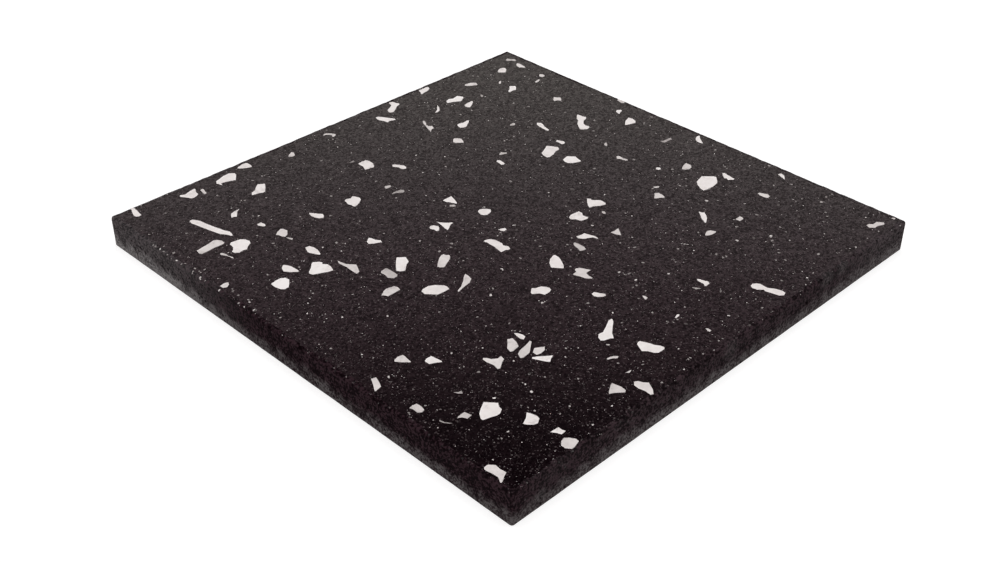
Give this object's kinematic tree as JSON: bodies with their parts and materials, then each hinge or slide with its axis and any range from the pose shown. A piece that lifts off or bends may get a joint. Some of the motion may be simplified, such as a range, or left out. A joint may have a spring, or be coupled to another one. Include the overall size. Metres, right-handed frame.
{
  "type": "terrazzo tile",
  "caption": "Square black cement terrazzo floor tile with white marble chips in a ground face, an eased arris and a plain flat back for bedding in adhesive.",
  "frame": {"origin": "middle of the flat underside, the bedding face", "axes": "+Z out of the ground face, up as the tile lies on a floor; +X and +Y square to the tile's edges"},
  "size_m": [0.3, 0.3, 0.018],
  "materials": {
    "black_terrazzo": "satin",
    "white_marble": "satin"
  },
  "bodies": {
    "root": {"terrazzo_slab": "black_terrazzo"}
  },
  "joints": []
}
